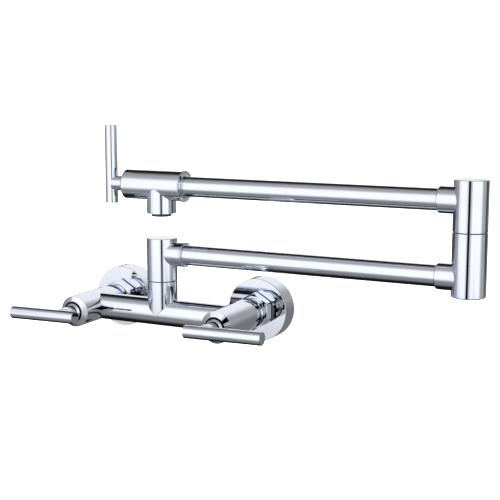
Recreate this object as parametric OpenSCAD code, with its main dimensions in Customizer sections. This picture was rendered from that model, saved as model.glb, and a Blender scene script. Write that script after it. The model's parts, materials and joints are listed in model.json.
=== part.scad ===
// Wall mounted pot filler: two valve bodies on a bridge, a swivelling lower arm,
// an elbow and a folding upper arm with its own valve at the spout.
// Millimetres. Origin on the wall plane, midway between the two inlets, at the
// height of the inlet axis. +X to the right, +Z up, the front faces -Y.

/* [Overall] */
// Distance between the two supply inlets
inlet_spacing = 150; // [140:1:160]
// Distance of the bridge, post and arms from the wall
arm_offset = 65.8; // [64:0.1:68]
// Length of each arm, from one swivel axis to the next
arm_length = 288.5; // [240:0.5:340]
// Height of the lower arm above the inlets
lower_arm_z = 55.7; // [55:0.1:57]
// Height of the upper arm above the inlets
upper_arm_z = 118.6; // [117:0.1:121]

/* [Wall flanges] */
// Radius of a wall flange
flange_r = 30; // [28:0.5:34]
// Depth of a wall flange from the wall to its front face
flange_depth = 19.2; // [18:0.1:19.6]
// Wall thickness of a flange
flange_wall = 1.5; // [1:0.1:2]

/* [Inlets] */
// Radius of the male thread that enters the wall
stub_r = 10.48; // [10.4:0.01:10.5]
// Length of the thread behind the wall plane
stub_len = 14; // [10:0.5:16]
// Radius of the front thread under the union nut
union_r = 13.2; // [13:0.05:13.2]
// Radius of the waterway through the inlet
inlet_bore_r = 7; // [5:0.5:7]
// Width across flats of the union nut
nut_af = 31; // [29:0.5:32]

/* [Valve bodies] */
// Radius of a valve body
valve_r = 14.65; // [14.5:0.05:15]
// Distance from the wall to the back of a valve body
valve_back = 44.6; // [44:0.1:45]
// Distance from the wall to the front edge of a valve body
valve_front = 100.2; // [100:0.1:101]

/* [Bridge and post] */
// Radius of the bridge tube
bridge_r = 12.75; // [12.2:0.05:13]
// Radius of the post
post_r = 14; // [13.7:0.05:14.2]
// Height of the split between the fixed and the turning part of the post
post_split = 30.6; // [30:0.1:31]
// Height of the top of the post
post_top = 70.3; // [70:0.1:72]

/* [Arms] */
// Outer radius of the arm tubes
tube_r = 9.25; // [9:0.05:9.25]
// Wall thickness of the arm tubes
tube_wall = 1.25; // [1:0.05:1.5]
// Radius of the sockets that hold the tubes
socket_r = 11.2; // [11:0.1:11.6]
// Radius of the elbow
elbow_r = 14.3; // [14.1:0.1:14.6]
// Height of the bottom of the elbow
elbow_bottom = 40.25; // [38:0.25:41]
// Height of the split in the elbow
elbow_split = 93.6; // [93:0.1:94]
// Height of the top of the elbow
elbow_top = 135.9; // [135:0.1:138]

/* [Spout valve] */
// Radius of the spout valve body
spout_r = 13.7; // [13.6:0.05:14]
// Radius of the outlet under the spout valve body
outlet_r = 13.4; // [13.2:0.05:13.5]
// Height of the lower edge of the outlet
outlet_z = 93.15; // [92:0.05:94]

/* [Levers] */
// Radius of a lever rod
lever_r = 5.9; // [5:0.1:6]
// Length of the long side of the left lever, from the hub axis
left_lever_long = 53; // [50:0.1:60]
// Length of the short side of the left lever, from the hub axis
left_lever_short = 17.2; // [15:0.1:20]
// Length of the long side of the right lever, from the hub axis
right_lever_long = 56.4; // [50:0.1:60]
// Length of the short side of the right lever, from the hub axis
right_lever_short = 17.8; // [15:0.1:20]
// Length of the long side of the spout lever, from the hub axis
spout_lever_long = 54.1; // [50:0.1:60]
// Length of the short side of the spout lever, from the hub axis
spout_lever_short = 18.5; // [15:0.1:20]
// Turn of the two main levers away from level, in degrees
lever_turn = 1.1; // [0:0.1:3]
// Radius of a main lever hub
hub_r = 6.6; // [6.4:0.1:6.8]
// Radius of the spout lever hub
spout_hub_r = 6.8; // [6.6:0.1:7]
// Distance from the wall to the lever axis of the two main valves
lever_y = 124.3; // [122:0.1:126]
// Distance from the outlet axis to the lever axis of the spout valve
spout_lever_x = 53.8; // [53:0.1:56]

/* [Hidden] */
half = inlet_spacing / 2;
fine = 96;
run = 0.05;      // radial clearance of a turning fit
slip = 0.05;     // radial clearance of threads and brazed joints
swivel_r = 9;    // radius of the hollow swivel spindles
washer_t = 0.7;  // thickness of a swivel washer

// ---- placing: local +Z runs away from the wall, or along the arm --------------
module from_wall(x) { translate([x, 0, 0]) rotate([90, 0, 0]) children(); }
module on_spout() { translate([0, -arm_offset, upper_arm_z]) rotate([0, -90, 0]) children(); }
module on_arm(x, z) { translate([x, -arm_offset, z]) rotate([0, 90, 0]) children(); }
module on_post() { translate([0, -arm_offset, 0]) children(); }
module on_elbow() { translate([arm_length, -arm_offset, 0]) children(); }

// a turned piece: its outline is a list of [radius, height]
module turned(outline) { rotate_extrude($fn = fine) polygon(points = outline); }
// ring between two radii and two heights
module ring(r1, r0, z0, z1) {
  turned([[r0, z0], [r1, z0], [r1, z1], [r0, z1]]);
}
module rod(r, z0, z1) { translate([0, 0, z0]) cylinder(r = r, h = z1 - z0, $fn = fine); }
// quarter-round corner for an outline, n steps, from angle a0 to a1
function arc_pts(cr, cz, r, a0, a1, n = 3) =
  [for (i = [0:n]) let (a = a0 + (a1 - a0) * i / n) [cr + r * cos(a), cz + r * sin(a)]];
// straight rod with softened ends
module soft_rod(r, z0, z1, b) {
  turned([[0, z0], [r - b, z0], [r, z0 + b], [r, z1 - b], [r - b, z1], [0, z1]]);
}
module hex(af, z0, z1) { translate([0, 0, z0]) rotate([0, 0, 30]) cylinder(r = af / 2 / cos(30), h = z1 - z0, $fn = 6); }

// ---- wall side -----------------------------------------------------------------
module wall_union(x) {
  color("goldenrod") from_wall(x) difference() {
    union() {
      turned([[0, -stub_len], [stub_r - 0.8, -stub_len], [stub_r, -stub_len + 0.8], [stub_r, 5], [0, 5]]);
      hex(24, 4, 11);
      turned([[0, 10], [union_r, 10], [union_r, 27.2], [union_r - 0.8, 28], [0, 28]]);
    }
    rod(inlet_bore_r, -stub_len - 1, 29);
  }
}
module left_wall_union() { wall_union(-half); }
module right_wall_union() { wall_union(half); }

// deep round cup with a flat front, open towards the wall
module wall_flange(x) {
  color("silver") from_wall(x)
    turned(concat(
      [[flange_r - flange_wall, 0], [flange_r, 0]],
      arc_pts(flange_r - 0.6, flange_depth - 0.6, 0.6, 0, 90, 2),
      [[union_r + 0.3, flange_depth], [union_r + 0.3, flange_depth - 6],
       [union_r + 2.3, flange_depth - 6], [union_r + 2.3, flange_depth - flange_wall],
       [flange_r - flange_wall, flange_depth - flange_wall]]));
}
module left_wall_flange() { wall_flange(-half); }
module right_wall_flange() { wall_flange(half); }

// hexagon nut with a round skirt and an inner lip that holds the tail's collar
module union_nut(x) {
  color("silver") from_wall(x) difference() {
    union() {
      intersection() {
        hex(nut_af, 20.6, 29.8);
        turned([[0, 20.6], [16.4, 20.6], [17.6, 21.8], [17.6, 28.4], [15.2, 29.8], [0, 29.8]]);
      }
      turned([[0, 25], [14.4, 25], [14.4, 36.5], [13.6, 37.5], [0, 37.5]]);
    }
    rod(union_r + slip, 20, 33.4);
    rod(11.4, 33, 38);
  }
}
module left_union_nut() { union_nut(-half); }
module right_union_nut() { union_nut(half); }

module inlet_washer(x) { color("dimgray") from_wall(x) ring(12.6, 7.4, 28.02, 29.95); }
module left_inlet_washer() { inlet_washer(-half); }
module right_inlet_washer() { inlet_washer(half); }

// collared tail that the union nut pulls against the washer; it screws into the valve body
module inlet_tail(x) {
  color("silver") from_wall(x) difference() {
    turned([[0, 30], [12.8, 30], [12.8, 33.2], [11.1, 33.2], [11.1, 39.4], [12.2, 39.4], [13.3, 40.4],
            [13.3, 43.6], [12.9, 44.4], [9.5, 44.4], [9.5, 53.6], [0, 53.6]]);
    rod(inlet_bore_r, 29, 55);
  }
}
module left_inlet_tail() { inlet_tail(-half); }
module right_inlet_tail() { inlet_tail(half); }

// ---- valves --------------------------------------------------------------------
// side is +1 when the bridge leaves towards +X
module valve_body(x, side) {
  color("silver") difference() {
    from_wall(x) turned([
      [0, valve_back], [valve_r - 0.8, valve_back], [valve_r, valve_back + 0.8],
      [valve_r, valve_front - 0.15], [valve_r - 0.15, valve_front], [0, valve_front]]);
    from_wall(x) turned([
      [0, valve_back - 1], [9.5 + slip, valve_back - 1], [9.5 + slip, 53.8], [inlet_bore_r, 53.8],
      [inlet_bore_r, 57], [11.8, 57], [11.8, 79], [9.8 + slip, 79],
      [9.8 + slip, valve_front + 1], [0, valve_front + 1]]);
    translate([x, -arm_offset, 0]) rotate([0, 90 * side, 0]) rod(8.2, 2, 20);
  }
}
module left_valve_body() { valve_body(-half, 1); }
module right_valve_body() { valve_body(half, -1); }

// bridge tube with the fixed lower part of the post, coped onto the valve bodies; the foot of
// the post sits on the tube like a saddle and comes to a point in front
module bridge_tee() {
  color("silver") difference() {
    union() {
      translate([-half + 3, -arm_offset, 0]) rotate([0, 90, 0]) rod(bridge_r, 0, inlet_spacing - 6);
      on_post() intersection() {
        turned([[0, -2], [post_r, -2], [post_r, post_split - washer_t / 2 - 0.15],
                [post_r - 0.15, post_split - washer_t / 2], [0, post_split - washer_t / 2]]);
        rotate([90, 0, 0]) translate([0, 0, -20]) linear_extrude(height = 40)
          polygon([[-20, 18.2], [-2.4, 0.6], [-1.2, -0.6], [0, -1], [1.2, -0.6], [2.4, 0.6], [20, 18.2], [20, 60], [-20, 60]]);
      }
    }
    for (s = [-1, 1]) translate([s * half, 0, 0]) rotate([90, 0, 0]) rod(valve_r + slip, 30, 110);
    translate([-half, -arm_offset, 0]) rotate([0, 90, 0]) rod(9.2, 0, inlet_spacing);
    on_post() rod(swivel_r + slip, 13.8, post_split + 1);
    on_post() rod(7.2, 0, 14);
  }
}

module left_seat_seal() { color("dimgray") from_wall(-half) translate([0, 0, 57.1]) ring(7.3, 4.6, 0, 3.6); }
module right_seat_seal() { color("dimgray") from_wall(half) translate([0, 0, 57.1]) ring(7.3, 4.6, 0, 3.6); }

// cartridge: local z 0 is the seat, the disc pair stands above it, the neck carries the stem.
// r_t is the radius of the thread, z_n the height of its shoulder, r_n and top the neck's
// radius and the height of its front end
module cartridge_shell(r_b, r_t, r_n, z_t, z_n, top) {
  difference() {
    turned([[0, 0.1], [r_b, 0.1], [r_b, z_t], [r_t, z_t], [r_t, z_n], [r_n, z_n], [r_n, top - 0.5], [r_n - 0.5, top], [0, top]]);
    // disc chamber, stem bore
    rod(7.5, -1, 16);
    rod(5 + run, 15, top + 1);
    // two side windows
    for (a = [0, 180]) rotate([0, 0, a]) translate([0, 0, 12.6]) rotate([0, 90, 0]) rod(2.2, 5, 12);
  }
}
// two-lobed port cut through a disc
module disc_ports(a, z0, z1) {
  for (s = [0, 180]) rotate([0, 0, a + s]) translate([3.7, 0, 0]) rod(2, z0 - 1, z1 + 1);
}
module fixed_disc_piece() { difference() { rod(7.2, 3.9, 6.9); disc_ports(0, 3.9, 6.9); } }
module turning_disc_piece() { difference() { rod(7.1, 7, 9.8); disc_ports(90, 7, 9.8); } }
// stem: driving plate under the shoulder, round neck, squared spline end
module stem_piece(neck, end) {
  turned([[0, 9.9], [6.7, 9.9], [6.7, 13.4], [5, 13.4], [5, neck], [3.9, neck], [3.9, end - 0.5], [3.4, end], [0, end]]);
}

module main_cartridge(x) { color("goldenrod") from_wall(x) translate([0, 0, 57]) cartridge_shell(8.9, 9.8, 8.6, 22.3, 35.5, 43); }
module left_cartridge_shell() { main_cartridge(-half); }
module right_cartridge_shell() { main_cartridge(half); }
module left_fixed_disc() { color("white") from_wall(-half) translate([0, 0, 57]) fixed_disc_piece(); }
module right_fixed_disc() { color("white") from_wall(half) translate([0, 0, 57]) fixed_disc_piece(); }
module left_turning_disc() { color("white") from_wall(-half) translate([0, 0, 57]) turning_disc_piece(); }
module right_turning_disc() { color("white") from_wall(half) translate([0, 0, 57]) turning_disc_piece(); }
module left_valve_stem() { color("goldenrod") from_wall(-half) translate([0, 0, 57]) stem_piece(43.9, 58); }
module right_valve_stem() { color("goldenrod") from_wall(half) translate([0, 0, 57]) stem_piece(43.9, 58); }

// conical cap that screws into the front of a valve body and holds the cartridge down.
// Local z 0 is the body's front face; r_s is its thread, r_i its bore, r_c the recess for the
// lever hub, h its height
module bonnet_cap(r, r_s, r_i, r_c, depth, h) {
  turned([[r_i, -depth], [r_s - 0.5, -depth], [r_s, -depth + 0.5], [r_s, 0.25], [r - 0.1, 0.25], [r, 0.4],
          [r_c + 0.05, h], [r_c, h - 0.05], [r_c, 1], [r_i, 1]]);
}
module left_bonnet_cap() { color("silver") from_wall(-half) translate([0, 0, valve_front]) bonnet_cap(valve_r, 9.8, 8.75, 9.9, 7.6, 3.25); }
module right_bonnet_cap() { color("silver") from_wall(half) translate([0, 0, valve_front]) bonnet_cap(valve_r, 9.8, 8.75, 9.9, 7.6, 3.25); }

// hub: base disc that carries on the cone of the cap, then a round stem with a cross
// groove for the rod. base is the height of its back face, axis_z that of the lever axis.
module lever_hub(base, axis_z, stem_end, dir) {
  difference() {
    union() {
      turned([[0, base + 1.2], [8.7, base + 1.2], [8.9, base + 1.4], [8.9, base + 3.1], [hub_r + 0.8, base + 4.9],
              [hub_r, base + 5.8], [hub_r, axis_z - 3.7], [hub_r - 0.2, axis_z - 3.5], [0, axis_z - 3.5]]);
      rod(2.45, axis_z - 5, axis_z + 2);
    }
    // seat of the rod
    difference() {
      rotate([90, 0, 0]) translate([0, axis_z, -20]) cylinder(r = lever_r + 0.02, h = 40, $fn = fine);
      rod(2.45, axis_z - 6, axis_z + 3);
    }
    // socket on the stem
    rod(3.92, base, stem_end + 0.3);
    // thread of the hub screw
    translate([0, 0, stem_end - 3.6]) rotate([0, 0, dir]) rotate([0, 90, 0]) rod(2.02, 2, 12);
  }
}
// the rod lies along local Y, from y0 to y1
module lever_rod(axis_z, y0, y1) {
  difference() {
    translate([0, 0, axis_z]) rotate([-90, 0, 0]) soft_rod(lever_r, y0, y1, 0.3);
    rod(2.5, axis_z - 7, axis_z + 2.3);
  }
}
module hub_screw(z, dir) {
  translate([0, 0, z]) rotate([0, 0, dir]) rotate([0, 90, 0]) difference() {
    rod(2, 3.98, 6.4);
    translate([0, 0, 5.2]) cylinder(r = 1.15, h = 3, $fn = 6);
  }
}

// rod seat across the hub runs nearly level on the main valves, the screw faces down
module main_hub(x) { color("silver") from_wall(x) rotate([0, 0, 90 + lever_turn]) lever_hub(valve_front, lever_y, 115, 180); }
module left_lever_hub() { main_hub(-half); }
module right_lever_hub() { main_hub(half); }
module left_lever_rod() { color("silver") from_wall(-half) rotate([0, 0, 90 + lever_turn]) lever_rod(lever_y, -left_lever_short, left_lever_long); }
module right_lever_rod() { color("silver") from_wall(half) rotate([0, 0, 90 + lever_turn]) lever_rod(lever_y, -right_lever_long, right_lever_short); }
module left_hub_screw() { color("gray") from_wall(-half) rotate([0, 0, 90 + lever_turn]) hub_screw(111.4, 180); }
module right_hub_screw() { color("gray") from_wall(half) rotate([0, 0, 90 + lever_turn]) hub_screw(111.4, 180); }

// ---- swivels -------------------------------------------------------------------
// hollow spindle: thread below the split, journal above it, a groove for the
// retaining screw and two seal grooves
module swivel_spindle(split) {
  turned([
    [6.2, split - 16.4], [8.6, split - 16.4], [swivel_r, split - 16], [swivel_r, split + 4.6],
    [7.7, split + 4.6], [7.7, split + 7.8], [swivel_r, split + 7.8], [swivel_r, split + 9.6],
    [7.1, split + 9.6], [7.1, split + 11.6], [swivel_r, split + 11.6], [swivel_r, split + 12.8],
    [7.1, split + 12.8], [7.1, split + 14.8], [swivel_r, split + 14.8], [swivel_r, split + 16],
    [8.6, split + 16.4], [6.2, split + 16.4]]);
}
module swivel_seals(split) {
  for (z = [10.6, 13.8]) translate([0, 0, split + z])
    rotate_extrude($fn = fine) translate([8.05, 0]) circle(r = 0.9, $fn = 32);
}
module swivel_washer(split) { ring(13, swivel_r + 0.2, split - washer_t / 2 + 0.01, split + washer_t / 2 - 0.06); }
// screw with a round tip that runs in the spindle's groove; it enters from the side
// facing away from the tube, at angle a
module retaining_screw(split, r, a) {
  translate([0, 0, split + 6.2]) rotate([0, 0, a]) rotate([0, 90, 0]) difference() {
    turned([[0, 8.2], [1.2, 8.2], [1.2, 9.4], [2, 9.6], [2, r - 0.7], [0, r - 0.7]]);
    translate([0, 0, r - 2.6]) cylinder(r = 1.15, h = 3, $fn = 6);
  }
}
module swivel_screw_hole(split, r, a) {
  translate([0, 0, split + 6.2]) rotate([0, 0, a]) rotate([0, 90, 0]) rod(2.02, swivel_r - 0.5, r + 2);
}

module post_spindle() { color("goldenrod") on_post() swivel_spindle(post_split); }
module post_swivel_seals() { color("dimgray") on_post() swivel_seals(post_split); }
module post_swivel_washer() { color("dimgray") on_post() swivel_washer(post_split); }

module post_sleeve() {
  z0 = post_split + washer_t / 2;
  color("silver") on_post() difference() {
    union() {
      turned([[0, z0], [post_r - 0.15, z0], [post_r, z0 + 0.15], [post_r, post_top - 0.4], [post_r - 0.4, post_top], [0, post_top]]);
      translate([0, 0, lower_arm_z]) rotate([0, 90, 0]) rod(socket_r, 2, 24);
    }
    rod(swivel_r + run, z0 - 1, lower_arm_z + 8.3);
    translate([0, 0, lower_arm_z]) rotate([0, 90, 0]) rod(7.6, 0, 20);
    translate([0, 0, lower_arm_z]) rotate([0, 90, 0]) rod(tube_r + slip, 12.4, 25);
    swivel_screw_hole(post_split, post_r, 180);
  }
}
module post_retaining_screw() { color("gray") on_post() retaining_screw(post_split, post_r, 180); }

module lower_collar_ring() {
  color("silver") on_arm(0, lower_arm_z)
    turned([[tube_r + slip, 24.2], [socket_r + 0.1, 24.2], [socket_r + 0.4, 24.5], [socket_r + 0.4, 25.1], [socket_r + 0.1, 25.4],
            [11, 25.4], [10.3, 25.24], [9.6, 25.4], [tube_r + slip, 25.4]]);
}
module arm_tube(z, x0, x1) { color("silver") on_arm(0, z) ring(tube_r, tube_r - tube_wall, x0, x1); }
module lower_tube() { arm_tube(lower_arm_z, 12.6, arm_length - 14.6); }
module upper_tube() { arm_tube(upper_arm_z, 12.6, arm_length - 14.6); }

// socket of the elbow, pointing to -X, with a rounded mouth; bored for the tube
module elbow_socket(z) {
  translate([0, 0, z]) rotate([0, -90, 0])
    turned(concat([[0, 4], [socket_r, 4], [socket_r, 25]], arc_pts(socket_r - 1.5, 25, 1.5, 0, 90, 3), [[0, 26.5]]));
}
module elbow_socket_bore(z) {
  translate([0, 0, z]) rotate([0, -90, 0]) rod(7.6, 0, 20);
  translate([0, 0, z]) rotate([0, -90, 0]) rod(tube_r + slip, 14.4, 28);
}
module elbow_lower_body() {
  z1 = elbow_split - washer_t / 2;
  color("silver") on_elbow() difference() {
    union() {
      turned(concat([[0, elbow_bottom]], arc_pts(elbow_r - 1.2, elbow_bottom + 1.2, 1.2, -90, 0, 3),
        [[elbow_r, z1 - 0.15], [elbow_r - 0.15, z1], [0, z1]]));
      elbow_socket(lower_arm_z);
    }
    rod(7.6, lower_arm_z - 9, elbow_split - 16);
    rod(swivel_r + slip, elbow_split - 16.6, elbow_split + 1);
    elbow_socket_bore(lower_arm_z);
  }
}
module elbow_spindle() { color("goldenrod") on_elbow() swivel_spindle(elbow_split); }
module elbow_swivel_seals() { color("dimgray") on_elbow() swivel_seals(elbow_split); }
module elbow_swivel_washer() { color("dimgray") on_elbow() swivel_washer(elbow_split); }
module elbow_upper_body() {
  z0 = elbow_split + washer_t / 2;
  color("silver") on_elbow() difference() {
    union() {
      turned([[0, z0], [elbow_r - 0.15, z0], [elbow_r, z0 + 0.15], [elbow_r, elbow_top - 0.4], [elbow_r - 0.4, elbow_top], [0, elbow_top]]);
      elbow_socket(upper_arm_z);
    }
    rod(swivel_r + run, z0 - 1, upper_arm_z + 8.5);
    elbow_socket_bore(upper_arm_z);
    swivel_screw_hole(elbow_split, elbow_r, 0);
  }
}
module elbow_retaining_screw() { color("gray") on_elbow() retaining_screw(elbow_split, elbow_r, 0); }

// ---- spout valve -----------------------------------------------------------------
module spout_collar_ring() {
  color("silver") on_arm(0, upper_arm_z)
    turned(concat([[tube_r + slip, 24.3], [spout_r + 0.5, 24.3], [spout_r + 0.8, 24.55]], arc_pts(spout_r + 0.2, 24.8, 0.6, 0, 90, 2),
      [[13.3, 25.4], [12.5, 25.17], [11.6, 25.08], [10.7, 25.17], [9.9, 25.4], [tube_r + slip, 25.4]]));
}
// local z runs towards -X; the outlet leaves downwards at local z 0
module spout_valve_body() {
  color("silver") difference() {
    union() {
      on_spout() turned([[0, -24], [spout_r - 0.2, -24], [spout_r, -23.8], [spout_r, 35.25], [spout_r - 0.15, 35.4], [0, 35.4]]);
      translate([0, -arm_offset, 0])
        turned([[0, outlet_z], [outlet_r - 0.35, outlet_z], [outlet_r, outlet_z + 0.35], [outlet_r, upper_arm_z - 1], [0, upper_arm_z - 1]]);
    }
    on_spout() turned([[0, -25], [tube_r + slip, -25], [tube_r + slip, -12.4], [6.5, -12.4], [6.5, -9],
                       [10.6, -9], [10.6, 14], [9.4 + slip, 14], [9.4 + slip, 37], [0, 37]]);
    // down to the outlet, then the seat of the aerator
    translate([0, -arm_offset, 0]) rod(7, outlet_z + 9, upper_arm_z);
    translate([0, -arm_offset, 0]) rod(11, outlet_z - 1, outlet_z + 9.4);
  }
}
module spout_seat_seal() { color("dimgray") on_spout() translate([0, 0, -8.9]) ring(7.3, 4.6, 0, 3.6); }
module spout_cartridge_shell() { color("goldenrod") on_spout() translate([0, 0, -9]) cartridge_shell(8.6, 9.4, 7.6, 23.3, 36.9, 44.1); }
module spout_fixed_disc() { color("white") on_spout() translate([0, 0, -9]) fixed_disc_piece(); }
module spout_turning_disc() { color("white") on_spout() translate([0, 0, -9]) turning_disc_piece(); }
module spout_valve_stem() { color("goldenrod") on_spout() translate([0, 0, -9]) stem_piece(45.1, 56); }
module spout_bonnet_cap() {
  color("silver") on_spout() translate([0, 0, 35.4]) bonnet_cap(spout_r, 9.4, 7.75, 9.7, 7.4, 2.5);
}
module spout_lever_hub() {
  color("silver") on_spout() rotate([0, 0, 90]) difference() {
    union() {
      turned([[0, 36.6], [9, 36.6], [9.2, 36.8], [9.2, 38.3], [spout_hub_r + 0.8, 39.7], [spout_hub_r, 40.5],
              [spout_hub_r, spout_lever_x - 2.9], [spout_hub_r - 0.2, spout_lever_x - 2.7], [0, spout_lever_x - 2.7]]);
      rod(2.45, spout_lever_x - 5, spout_lever_x + 2);
    }
    difference() {
      rotate([90, 0, 0]) translate([0, spout_lever_x, -20]) cylinder(r = lever_r + 0.02, h = 40, $fn = fine);
      rod(2.45, spout_lever_x - 6, spout_lever_x + 3);
    }
    rod(3.92, 36, 47.2);
    translate([0, 0, 44.6]) rotate([0, 90, 0]) rod(2.02, 2, 12);
  }
}
module spout_lever_rod() { color("silver") on_spout() rotate([0, 0, -90]) lever_rod(spout_lever_x, -spout_lever_short, spout_lever_long); }
module spout_hub_screw() { color("gray") on_spout() rotate([0, 0, 90]) hub_screw(44.6, 0); }

// aerator: threaded shell with a narrower lip, a plastic insert and a washer above it
module aerator_shell() {
  color("silver") translate([0, -arm_offset, 0]) difference() {
    turned([[0, outlet_z - 2.7], [8.9, outlet_z - 2.7], [9.3, outlet_z - 2.3], [9.3, outlet_z - 0.2],
            [10.9, outlet_z - 0.2], [10.9, outlet_z + 7], [0, outlet_z + 7]]);
    rod(8.1, outlet_z - 4, outlet_z + 8);
  }
}
module aerator_insert() {
  color("dimgray") translate([0, -arm_offset, 0]) difference() {
    union() {
      rod(8, outlet_z - 0.9, outlet_z + 7.2);
      rod(10.4, outlet_z + 7.1, outlet_z + 7.9);
    }
    for (r = [0, 2.6, 5.2]) for (i = [0:1:max(0, r * 2.4 - 1)])
      rotate([0, 0, i * 360 / max(1, floor(r * 2.4))]) translate([r, 0, 0]) rod(0.8, outlet_z - 2, outlet_z + 9);
  }
}
module aerator_washer() { color("dimgray") translate([0, -arm_offset, 0]) ring(10.6, 7.2, outlet_z + 8, outlet_z + 9.3); }

left_wall_union();
right_wall_union();
left_wall_flange();
right_wall_flange();
left_union_nut();
right_union_nut();
left_inlet_washer();
right_inlet_washer();
left_inlet_tail();
right_inlet_tail();
left_valve_body();
right_valve_body();
bridge_tee();
left_seat_seal();
right_seat_seal();
left_cartridge_shell();
right_cartridge_shell();
left_fixed_disc();
right_fixed_disc();
left_bonnet_cap();
right_bonnet_cap();
post_spindle();
post_swivel_seals();
post_swivel_washer();
left_turning_disc();
left_valve_stem();
left_lever_hub();
left_lever_rod();
left_hub_screw();
right_turning_disc();
right_valve_stem();
right_lever_hub();
right_lever_rod();
right_hub_screw();
post_sleeve();
post_retaining_screw();
lower_collar_ring();
lower_tube();
elbow_lower_body();
elbow_spindle();
elbow_swivel_seals();
elbow_swivel_washer();
elbow_upper_body();
elbow_retaining_screw();
upper_tube();
spout_collar_ring();
spout_valve_body();
spout_seat_seal();
spout_cartridge_shell();
spout_fixed_disc();
spout_bonnet_cap();
aerator_shell();
aerator_insert();
aerator_washer();
spout_turning_disc();
spout_valve_stem();
spout_lever_hub();
spout_lever_rod();
spout_hub_screw();
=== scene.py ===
import json
import math

import bpy
import numpy as np
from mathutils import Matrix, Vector

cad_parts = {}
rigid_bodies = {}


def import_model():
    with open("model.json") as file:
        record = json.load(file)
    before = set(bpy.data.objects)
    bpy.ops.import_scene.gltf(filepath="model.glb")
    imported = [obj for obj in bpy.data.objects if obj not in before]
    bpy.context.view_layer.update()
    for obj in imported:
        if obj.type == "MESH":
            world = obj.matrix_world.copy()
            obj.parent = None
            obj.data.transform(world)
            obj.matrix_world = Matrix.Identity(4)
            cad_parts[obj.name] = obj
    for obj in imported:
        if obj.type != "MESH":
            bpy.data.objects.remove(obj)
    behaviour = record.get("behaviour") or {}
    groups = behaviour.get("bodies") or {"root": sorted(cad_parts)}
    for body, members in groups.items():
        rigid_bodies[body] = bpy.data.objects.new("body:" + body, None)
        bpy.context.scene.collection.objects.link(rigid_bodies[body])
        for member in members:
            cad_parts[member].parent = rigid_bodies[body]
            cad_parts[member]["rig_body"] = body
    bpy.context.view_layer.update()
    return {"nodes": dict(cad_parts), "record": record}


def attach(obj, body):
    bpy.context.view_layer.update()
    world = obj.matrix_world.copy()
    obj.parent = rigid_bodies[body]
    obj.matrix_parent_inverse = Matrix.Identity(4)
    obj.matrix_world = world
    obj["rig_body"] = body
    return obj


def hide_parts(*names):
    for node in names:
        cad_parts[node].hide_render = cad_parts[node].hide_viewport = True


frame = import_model()
NODES = frame["nodes"]
BODY = {n: o["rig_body"] for n, o in NODES.items()}
SLOT = {s["node"]: s["material_slot"] for s in frame["record"]["subparts"]}

# ---------------------------------------------------------------- materials


def shader(name):
    m = bpy.data.materials.new(name)
    m.use_nodes = True
    t = m.node_tree
    t.nodes.clear()
    out = t.nodes.new("ShaderNodeOutputMaterial")
    b = t.nodes.new("ShaderNodeBsdfPrincipled")
    t.links.new(b.outputs["BSDF"], out.inputs["Surface"])
    return m, t, b


def place(t, scale=1.0):
    """Object coordinates in millimetres."""
    c = t.nodes.new("ShaderNodeTexCoord")
    v = t.nodes.new("ShaderNodeVectorMath")
    v.operation = "SCALE"
    v.inputs["Scale"].default_value = 1000.0 * scale
    t.links.new(c.outputs["Object"], v.inputs[0])
    return v.outputs[0]


def noise(t, vec, scale, detail=3.0, rough=0.5):
    n = t.nodes.new("ShaderNodeTexNoise")
    n.inputs["Scale"].default_value = scale
    n.inputs["Detail"].default_value = detail
    n.inputs["Roughness"].default_value = rough
    t.links.new(vec, n.inputs["Vector"])
    return n.outputs["Fac"]


def spread(t, value, lo, hi, frm=(0.3, 0.7)):
    r = t.nodes.new("ShaderNodeMapRange")
    r.inputs["From Min"].default_value, r.inputs["From Max"].default_value = frm
    r.inputs["To Min"].default_value, r.inputs["To Max"].default_value = lo, hi
    t.links.new(value, r.inputs["Value"])
    return r.outputs["Result"]


def tint(t, value, a, b, frm=(0.3, 0.7)):
    r = t.nodes.new("ShaderNodeValToRGB")
    r.color_ramp.elements[0].position, r.color_ramp.elements[1].position = frm
    r.color_ramp.elements[0].color = (*a, 1)
    r.color_ramp.elements[1].color = (*b, 1)
    t.links.new(value, r.inputs["Fac"])
    return r.outputs["Color"]


def bump(t, b, height, depth_mm):
    n = t.nodes.new("ShaderNodeBump")
    n.inputs["Strength"].default_value = 1.0
    n.inputs["Distance"].default_value = depth_mm / 1000
    t.links.new(height, n.inputs["Height"])
    t.links.new(n.outputs["Normal"], b.inputs["Normal"])


def metal(name, dark, light, r0, r1, grain, wave=0.0, wave_scale=0.35):
    m, t, b = shader(name)
    v = place(t)
    b.inputs["Metallic"].default_value = 1.0
    f = noise(t, v, grain, 4.0, 0.6)
    t.links.new(tint(t, f, dark, light), b.inputs["Base Color"])
    t.links.new(spread(t, f, r0, r1), b.inputs["Roughness"])
    if wave:
        bump(t, b, noise(t, v, wave_scale, 2.0, 0.4), wave)
    return m


def dull(name, dark, light, r0, r1, grain, depth):
    m, t, b = shader(name)
    v = place(t)
    f = noise(t, v, grain, 5.0, 0.6)
    t.links.new(tint(t, f, dark, light), b.inputs["Base Color"])
    t.links.new(spread(t, f, r0, r1), b.inputs["Roughness"])
    bump(t, b, f, depth)
    return m


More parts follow.
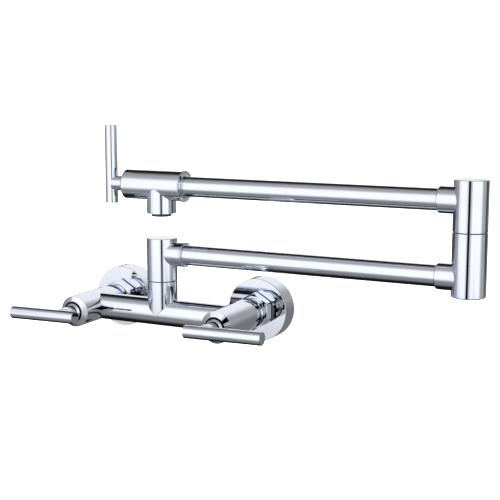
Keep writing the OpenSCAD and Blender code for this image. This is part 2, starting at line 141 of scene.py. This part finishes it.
MATS = {
    "chrome": metal("chrome_plate", (0.795, 0.83, 0.915), (0.815, 0.85, 0.935), 0.010, 0.022, 0.08),
    "brass": metal("turned_brass", (0.56, 0.40, 0.17), (0.70, 0.53, 0.27), 0.22, 0.38, 0.9, 0.004, 1.6),
    "steel": metal("screw_steel", (0.46, 0.46, 0.47), (0.60, 0.60, 0.62), 0.2, 0.34, 1.4, 0.002, 2.0),
    "ceramic": dull("disc_ceramic", (0.86, 0.86, 0.83), (0.93, 0.93, 0.91), 0.18, 0.28, 1.1, 0.001),
    "rubber": dull("seal_rubber", (0.016, 0.016, 0.017), (0.035, 0.035, 0.036), 0.5, 0.7, 1.2, 0.006),
    "fibre": dull("fibre_washer", (0.27, 0.07, 0.05), (0.42, 0.15, 0.11), 0.75, 0.95, 1.8, 0.02),
    "bearing_plastic": dull("washer_plastic", (0.03, 0.03, 0.032), (0.06, 0.06, 0.064), 0.35, 0.5, 0.8, 0.004),
    "aerator_plastic": dull("aerator_plastic", (0.03, 0.03, 0.032), (0.07, 0.07, 0.075), 0.4, 0.55, 1.0, 0.005),
}



def painted_gap_shade(name, x, side, limit):
    """Chrome with painted shade in the gap between cap and hub: a near-black base colour, with a rougher finish,
    nearer (LESS_THAN) or farther (GREATER_THAN) than limit mm from the valve axis at x mm."""
    m = MATS["chrome"].copy()
    m.name = name
    t = m.node_tree
    b = t.nodes["Principled BSDF"]
    v = place(t)
    for op, value in (("SUBTRACT", (x, 0, 0)), ("MULTIPLY", (1, 0, 1))):
        n = t.nodes.new("ShaderNodeVectorMath")
        n.operation = op
        t.links.new(v, n.inputs[0])
        n.inputs[1].default_value = value
        v = n.outputs[0]
    n = t.nodes.new("ShaderNodeVectorMath")
    n.operation = "LENGTH"
    t.links.new(v, n.inputs[0])
    c = t.nodes.new("ShaderNodeMath")
    c.operation = side
    t.links.new(n.outputs["Value"], c.inputs[0])
    c.inputs[1].default_value = limit
    # painted shade: near-black base colour where the mask is set, with a rougher finish
    for socket, kind, value in (("Base Color", "RGBA", (0.02, 0.02, 0.022, 1)), ("Roughness", "FLOAT", 0.4)):
        mix = t.nodes.new("ShaderNodeMix")
        mix.data_type = kind
        t.links.new(c.outputs[0], mix.inputs["Factor"])
        ends = [i for i in mix.inputs if i.enabled and i.name in ("A", "B")]
        t.links.new(b.inputs[socket].links[0].from_socket, ends[0])
        ends[1].default_value = value
        t.links.new([i for i in mix.outputs if i.enabled][0], b.inputs[socket])
    return m


# painted shade: caps go dark inside 9.94 mm of the valve axis and hubs go dark beyond 8.1 mm, where they face
# across the gap
GAP_PAINTED_SHADE = {}
for side, x in (("left", -75), ("right", 75)):
    GAP_PAINTED_SHADE[side + "_bonnet_cap"] = painted_gap_shade(side + "_cap_chrome_painted_shade", x, "LESS_THAN", 9.94)
    GAP_PAINTED_SHADE[side + "_lever_hub"] = painted_gap_shade(side + "_hub_chrome_painted_shade", x, "GREATER_THAN", 8.1)

# ---------------------------------------------------------------- shapes
# Every axis that a turned or bored surface of the part runs about: point, direction.
TURN = math.radians(1.1)
LEVEL = (math.cos(TURN), 0, math.sin(TURN))
DOWN = (-math.sin(TURN), 0, math.cos(TURN))
AXES = [
    ((-0.075, 0, 0), (0, 1, 0)),
    ((0.075, 0, 0), (0, 1, 0)),
    ((0, -0.0658, 0), (0, 0, 1)),
    ((0.2885, -0.0658, 0), (0, 0, 1)),
    ((0, -0.0658, 0), (1, 0, 0)),
    ((0, -0.0658, 0.0557), (1, 0, 0)),
    ((0, -0.0658, 0.1186), (1, 0, 0)),
    ((-0.075, -0.1243, 0), LEVEL),
    ((0.075, -0.1243, 0), LEVEL),
    ((-0.0538, -0.0658, 0), (0, 0, 1)),
    ((-0.075, -0.1114, 0), DOWN),
    ((0.075, -0.1114, 0), DOWN),
    ((0, -0.0658, 0.0368), (1, 0, 0)),
    ((0, -0.0658, 0.0998), (1, 0, 0)),
    ((-0.0446, -0.0658, 0), (0, 0, 1)),
    ((-0.0446, 0, 0.1186), (0, 1, 0)),
]


def welded(node):
    """Vertices and triangles of a CAD node, with the doubles joined."""
    me = NODES[node].data
    co = np.zeros(len(me.vertices) * 3)
    me.vertices.foreach_get("co", co)
    co = co.reshape(-1, 3)
    tri = np.array([list(p.vertices) for p in me.polygons], int)
    key = np.round(co * 1e6).astype(np.int64)
    _, first, inv = np.unique(key, axis=0, return_index=True, return_inverse=True)
    inv = inv.reshape(-1)
    tri = inv[tri]
    ok = (tri[:, 0] != tri[:, 1]) & (tri[:, 1] != tri[:, 2]) & (tri[:, 0] != tri[:, 2])
    return co[first], tri[ok]


def true_normals(v, tri):
    """Corner normals of the turned surfaces that the triangles stand for, flat elsewhere."""
    p = v[tri]
    nf = np.cross(p[:, 1] - p[:, 0], p[:, 2] - p[:, 0])
    nf /= np.linalg.norm(nf, axis=1, keepdims=True) + 1e-30
    normals = np.repeat(nf[:, None, :], 3, axis=1)
    band = np.full(len(tri), -1)
    done = np.zeros(len(tri), bool)
    keys, widths = {}, []
    for k, (c, a) in enumerate(AXES):
        c, a = np.array(c, float), np.array(a, float)
        q = p - c
        z = q @ a
        rad = q - z[..., None] * a
        r = np.linalg.norm(rad, axis=2)
        pts = np.stack([r, z], -1)
        best = np.zeros(len(tri))
        t = np.zeros((len(tri), 2))
        base = np.zeros((len(tri), 2))
        for i, j in ((0, 1), (1, 2), (2, 0)):
            d = pts[:, j] - pts[:, i]
            length = np.linalg.norm(d, axis=1)
            take = length > best
            best[take] = length[take]
            t[take] = (d / (length[:, None] + 1e-30))[take]
            base[take] = pts[take, i]
        off = np.abs(
            (pts[..., 0] - base[:, None, 0]) * t[:, None, 1]
            - (pts[..., 1] - base[:, None, 1]) * t[:, None, 0]
        ).max(1)
        mid = 0.5 * (p + np.roll(p, -1, axis=1)) - c
        mz = mid @ a
        mr = np.linalg.norm(mid - mz[..., None] * a, axis=2)
        sag = np.abs(
            (mr - base[:, None, 0]) * t[:, None, 1] - (mz - base[:, None, 1]) * t[:, None, 0]
        ).max(1)
        cen = p.mean(1) - c
        cz = cen @ a
        cr = cen - cz[:, None] * a
        ce = cr / (np.linalg.norm(cr, axis=1, keepdims=True) + 1e-30)
        guess = t[:, 1, None] * ce - t[:, 0, None] * a
        sign = np.sign((guess * nf).sum(1))
        agree = (guess * nf).sum(1) * sign
        ok = ~done & (best > 1e-6) & (off < 2e-5) & (sag < 4e-5) & (agree > math.cos(math.radians(9)))
        idx = np.nonzero(ok)[0]
        er = rad[idx] / (r[idx][..., None] + 1e-30)
        on_axis = r[idx] < 1e-5
        er[on_axis] = np.broadcast_to(ce[idx][:, None, :], er.shape)[on_axis]
        n = t[idx, 1][:, None, None] * er - t[idx, 0][:, None, None] * a
        n *= sign[idx][:, None, None]
        normals[idx] = n
        done[idx] = True
        # one band per straight stretch of the outline
        for i in idx:
            d = t[i] * (1 if (t[i][1] > 1e-6 or (abs(t[i][1]) <= 1e-6 and t[i][0] > 0)) else -1)
            offset = base[i][0] * d[1] - base[i][1] * d[0]
            key = (k, round(math.degrees(math.atan2(d[1], d[0])) / 2), round(offset * 2e4), int(sign[i]))
            if key not in keys:
                keys[key] = len(widths)
                widths.append([1e9, -1e9])
            s = pts[i] @ d
            w = widths[keys[key]]
            w[0], w[1] = min(w[0], s.min()), max(w[1], s.max())
            band[i] = keys[key]
    width = np.array([w[1] - w[0] for w in widths] + [1.0])
    narrow = width[band] < 0.0009
    # a narrow rounding takes the normals of the faces beside it, so that it reads as rounded
    around = {}
    for i in range(len(tri)):
        for j in range(3):
            around.setdefault(int(tri[i, j]), []).append((i, j))
    out = normals.copy()
    limit = math.cos(math.radians(66))
    for i in np.nonzero(narrow)[0]:
        for j in range(3):
            mine = normals[i, j]
            wide, thin = [], []
            for q, w in around[int(tri[i, j])]:
                if band[q] == band[i] or band[q] < 0:
                    continue
                other = normals[q, w]
                if other @ mine > limit:
                    (thin if narrow[q] else wide).append(other)
            if wide:
                n = np.mean(wide, axis=0)
            elif thin:
                n = mine + np.mean(thin, axis=0)
            else:
                continue
            length = np.linalg.norm(n)
            if length > 1e-6:
                out[i, j] = n / length
    return out


def dress(node, v, faces, n):
    """The piece that stands in for a node: vertices, faces and one normal for each face corner."""
    me = bpy.data.meshes.new(node + "_skin")
    me.from_pydata([tuple(x) for x in v], [], [tuple(int(i) for i in f) for f in faces])
    me.update()
    me.polygons.foreach_set("use_smooth", np.ones(len(me.polygons), bool))
    me.normals_split_custom_set([tuple(x) for x in n])
    # bonnet caps and lever hubs take the chrome with painted shade in the gap; other nodes take their slot's
    # material
    me.materials.append(GAP_PAINTED_SHADE.get(node) or MATS[SLOT[node]])
    o = bpy.data.objects.new(node + "_skin", me)
    bpy.context.scene.collection.objects.link(o)
    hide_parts(node)
    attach(o, BODY[node])
    return o


def skin(node):
    """A piece with the node's own shape and the exact normals of its turned surfaces."""
    v, tri = welded(node)
    return dress(node, v, tri, true_normals(v, tri).reshape(-1, 3))


def lathe(node, centre, outline, segments=144, sharp=32):
    """A ring about a line along X through centre. The outline is a closed loop of
    (radius, x) in mm, outside on its left; corners under sharp degrees read as rounded."""
    n = len(outline)
    pts = np.array(outline, float) / 1000
    d = np.roll(pts, -1, axis=0) - pts
    d /= np.linalg.norm(d, axis=1, keepdims=True)
    flat = np.stack([-d[:, 1], d[:, 0]], -1)
    limit = math.cos(math.radians(sharp))
    at_start, at_end = [], []
    for k in range(n):
        for other, put in ((flat[k - 1], at_start), (flat[(k + 1) % n], at_end)):
            m = flat[k] + other if flat[k] @ other > limit else flat[k]
            put.append(m / np.linalg.norm(m))

    def around(pair, s):
        a = 2 * math.pi * s / segments
        return (pair[1], pair[0] * math.cos(a), pair[0] * math.sin(a))

    v = [np.array(centre) + around(p, s) for s in range(segments) for p in pts]
    faces, normals = [], []
    for s in range(segments):
        u = (s + 1) % segments
        for k in range(n):
            j = (k + 1) % n
            faces.append((s * n + k, s * n + j, u * n + j, u * n + k))
            normals += [around(at_start[k], s), around(at_end[k], s), around(at_end[k], s + 1), around(at_start[k], s + 1)]
    return dress(node, v, faces, normals)


def hollow(r0, r1, x, depth, steps=8):
    """A shallow hollow in a face at x, between two radii."""
    out = []
    for i in range(steps + 1):
        f = i / steps
        out.append((r0 + (r1 - r0) * f, x - depth * 4 * f * (1 - f)))
    return out


def rounded(r, x, size, a0, a1, steps=4):
    """Points on a quarter rounding about (r, x)."""
    return [
        (r + size * math.cos(math.radians(a0 + (a1 - a0) * i / steps)), x + size * math.sin(math.radians(a0 + (a1 - a0) * i / steps)))
        for i in range(steps + 1)
    ]


# outlines of the two collar rings, each with a shallow hollow in its outer face
RINGS = {
    "spout_collar_ring": ((0, -0.0658, 0.1186), [(9.3, 24.3), (14.2, 24.3), (14.5, 24.55)] + rounded(13.9, 24.8, 0.6, 0, 90) + hollow(13.3, 9.9, 25.4, 0.32) + [(9.3, 25.4)]),
    "lower_collar_ring": ((0, -0.0658, 0.0557), [(9.3, 24.2), (11.3, 24.2), (11.6, 24.5)] + rounded(11.25, 25.05, 0.35, 0, 90) + hollow(11.0, 9.6, 25.4, 0.16) + [(9.3, 25.4)]),
}


INSIDE = ("_disc", "seat_seal", "swivel_seals", "aerator_washer", "cartridge_shell", "spindle", "aerator_insert")
for name in sorted(NODES):
    if name.endswith(INSIDE):
        o = NODES[name]
        o.data.materials.clear()
        o.data.materials.append(MATS[SLOT[name]])
    elif name in RINGS:
        lathe(name, *RINGS[name])
    else:
        skin(name)

# ---------------------------------------------------------------- studio


def quad(name, axis, at, u, v):
    """A card square to an axis. u and v are its ranges on the two other axes, in X, Y, Z order."""
    others = [i for i in range(3) if i != axis]
    pts = []
    for a, b in ((u[0], v[0]), (u[1], v[0]), (u[1], v[1]), (u[0], v[1])):
        p = [0.0, 0.0, 0.0]
        p[axis], p[others[0]], p[others[1]] = at, a, b
        pts.append(tuple(p))
    me = bpy.data.meshes.new(name)
    me.from_pydata(pts, [], [(0, 1, 2, 3)])
    me.update()
    o = bpy.data.objects.new(name, me)
    bpy.context.scene.collection.objects.link(o)
    return o


def step(t, value, a, b):
    """0 at a, 1 at b, smooth between."""
    r = t.nodes.new("ShaderNodeMapRange")
    r.interpolation_type = "SMOOTHSTEP"
    r.inputs["From Min"].default_value = min(a, b)
    r.inputs["From Max"].default_value = max(a, b)
    r.inputs["To Min"].default_value = 0.0 if a < b else 1.0
    r.inputs["To Max"].default_value = 1.0 if a < b else 0.0
    t.links.new(value, r.inputs["Value"])
    return r.outputs["Result"]


def times(t, a, b):
    m = t.nodes.new("ShaderNodeMath")
    m.operation = "MULTIPLY"
    t.links.new(a, m.inputs[0])
    t.links.new(b, m.inputs[1])
    return m.outputs[0]


def card(name, axis, at, u, v, base, patches):
    """A glowing card that only reflections and shading see. Each patch is
    ((u start, u full), (u full, u end), (v start, v full), (v full, v end), brightness);
    None leaves a side open."""
    o = quad(name, axis, at, u, v)
    m = bpy.data.materials.new(name)
    m.use_nodes = True
    t = m.node_tree
    t.nodes.clear()
    out = t.nodes.new("ShaderNodeOutputMaterial")
    e = t.nodes.new("ShaderNodeEmission")
    g = t.nodes.new("ShaderNodeNewGeometry")
    s = t.nodes.new("ShaderNodeSeparateXYZ")
    t.links.new(g.outputs["Position"], s.inputs[0])
    uu, vv = [s.outputs[i] for i in range(3) if i != axis]
    level = None
    for u0, u1, v0, v1, bright in patches:
        mask = None
        for socket, edge, rising in ((uu, u0, 1), (uu, u1, 0), (vv, v0, 1), (vv, v1, 0)):
            if edge is None:
                continue
            a, b = edge if rising else (edge[1], edge[0])
            f = step(t, socket, a, b)
            mask = f if mask is None else times(t, mask, f)
        mix = t.nodes.new("ShaderNodeMix")
        mix.data_type = "FLOAT"
        if mask is None:
            mix.inputs["Factor"].default_value = 1.0
        else:
            t.links.new(mask, mix.inputs["Factor"])
        if level is None:
            mix.inputs["A"].default_value = base
        else:
            t.links.new(level, mix.inputs["A"])
        mix.inputs["B"].default_value = bright
        level = mix.outputs["Result"]
    e.inputs["Color"].default_value = (1.0, 1.0, 1.0, 1)
    t.links.new(level, e.inputs["Strength"])
    t.links.new(e.outputs["Emission"], out.inputs["Surface"])
    o.data.materials.append(m)
    o.visible_camera = False
    return o


XL, XR, YF, YB, ZB, ZT = -0.75, 1.15, -0.70, 0.50, -0.45, 0.55
WHITE = 1.16
card("light_front", 1, YF, (XL, XR), (ZB, ZT), 0.38, [
    (None, None, (-0.38, -0.03), None, WHITE),
    (None, (-0.75, -0.42), (-0.20, 0.03), None, 0.80),
    ((0.08, 0.34), (0.42, 0.64), (-0.42, -0.10), None, 0.45),
    ((0.262, 0.277), (0.405, 0.417), None, None, 0.0),
])
card("light_left", 0, XL, (YF, YB), (ZB, ZT), 0.26, [
    (None, (-0.42, -0.08), None, None, 0.44),
    (None, (-0.64, -0.48), (-0.30, 0.0), None, WHITE),
    ((-0.05, 0.12), None, None, (-0.02, 0.02), 0.07),
])
card("light_right", 0, XR, (YF, YB), (ZB, ZT), 0.42, [
    (None, (-0.24, 0.10), (-0.30, -0.12), (0.22, 0.40), WHITE),
])
card("light_top", 2, ZT, (XL, XR), (YF, YB), 0.42, [
    (None, None, None, (-0.69, -0.23), WHITE),
    (None, None, (-0.20, 0.13), None, 0.012),
])
card("light_floor", 2, ZB, (XL, XR), (YF, YB), 0.25, [
    (None, None, (-0.38, -0.04), None, 0.008),
])
card("light_back", 1, YB, (XL, XR), (ZB, ZT), 0.20, [
    (None, (0.14, 0.26), (-0.14, -0.07), None, 0.06),
    (None, None, (0.03, 0.14), None, 0.97),
    ((0.06, 0.34), None, (-0.16, 0.14), None, 0.38),
    ((0.45, 0.60), None, (-0.12, -0.05), (0.06, 0.12), 0.08),
    (None, None, (0.46, 0.52), None, 0.02),
])

# plain pale floor, curving up behind
sweep = [(-4.0, -0.62), (1.6, -0.62)]
for i in range(1, 13):
    a = i / 12 * math.pi / 2
    sweep.append((1.6 + 1.0 * math.sin(a), 0.38 - 1.0 * math.cos(a)))
sweep.append((2.6, 4.0))
pts, faces = [], []
for i, (y, z) in enumerate(sweep):
    pts += [(-6.0, y, z), (6.5, y, z)]
    if i:
        faces.append((2 * i - 2, 2 * i - 1, 2 * i + 1, 2 * i))
me = bpy.data.meshes.new("floor")
me.from_pydata(pts, [], faces)
me.update()
me.polygons.foreach_set("use_smooth", np.ones(len(me.polygons), bool))
floor = bpy.data.objects.new("floor", me)
bpy.context.scene.collection.objects.link(floor)
m, t, b = shader("floor_paper")
f = noise(t, place(t), 0.02, 2.0)
t.links.new(tint(t, f, (0.90, 0.90, 0.90), (0.93, 0.93, 0.93)), b.inputs["Base Color"])
b.inputs["Roughness"].default_value = 0.9
b.inputs["Emission Color"].default_value = (1, 1, 1, 1)
b.inputs["Emission Strength"].default_value = 1.0
floor.data.materials.append(m)
floor.visible_glossy = False

world = bpy.data.worlds.new("studio")
bpy.context.scene.world = world
world.use_nodes = True
bg = world.node_tree.nodes["Background"]
bg.inputs["Color"].default_value = (1, 1, 1, 1)
bg.inputs["Strength"].default_value = 1.0

# ---------------------------------------------------------------- camera
cam = bpy.data.cameras.new("camera")
cam.lens = 78.19
cam.sensor_width = 36
cam.clip_start = 0.05
cam.clip_end = 50
eye = bpy.data.objects.new("camera", cam)
bpy.context.scene.collection.objects.link(eye)
eye.location = (0.51476, -0.91805, 0.21597)
eye.rotation_euler = (math.radians(80.985), 0, math.radians(26.443))
bpy.context.scene.camera = eye

scene = bpy.context.scene
scene.view_settings.view_transform = "Standard"
scene.view_settings.look = "None"
scene.view_settings.exposure = 0
scene.view_settings.gamma = 1
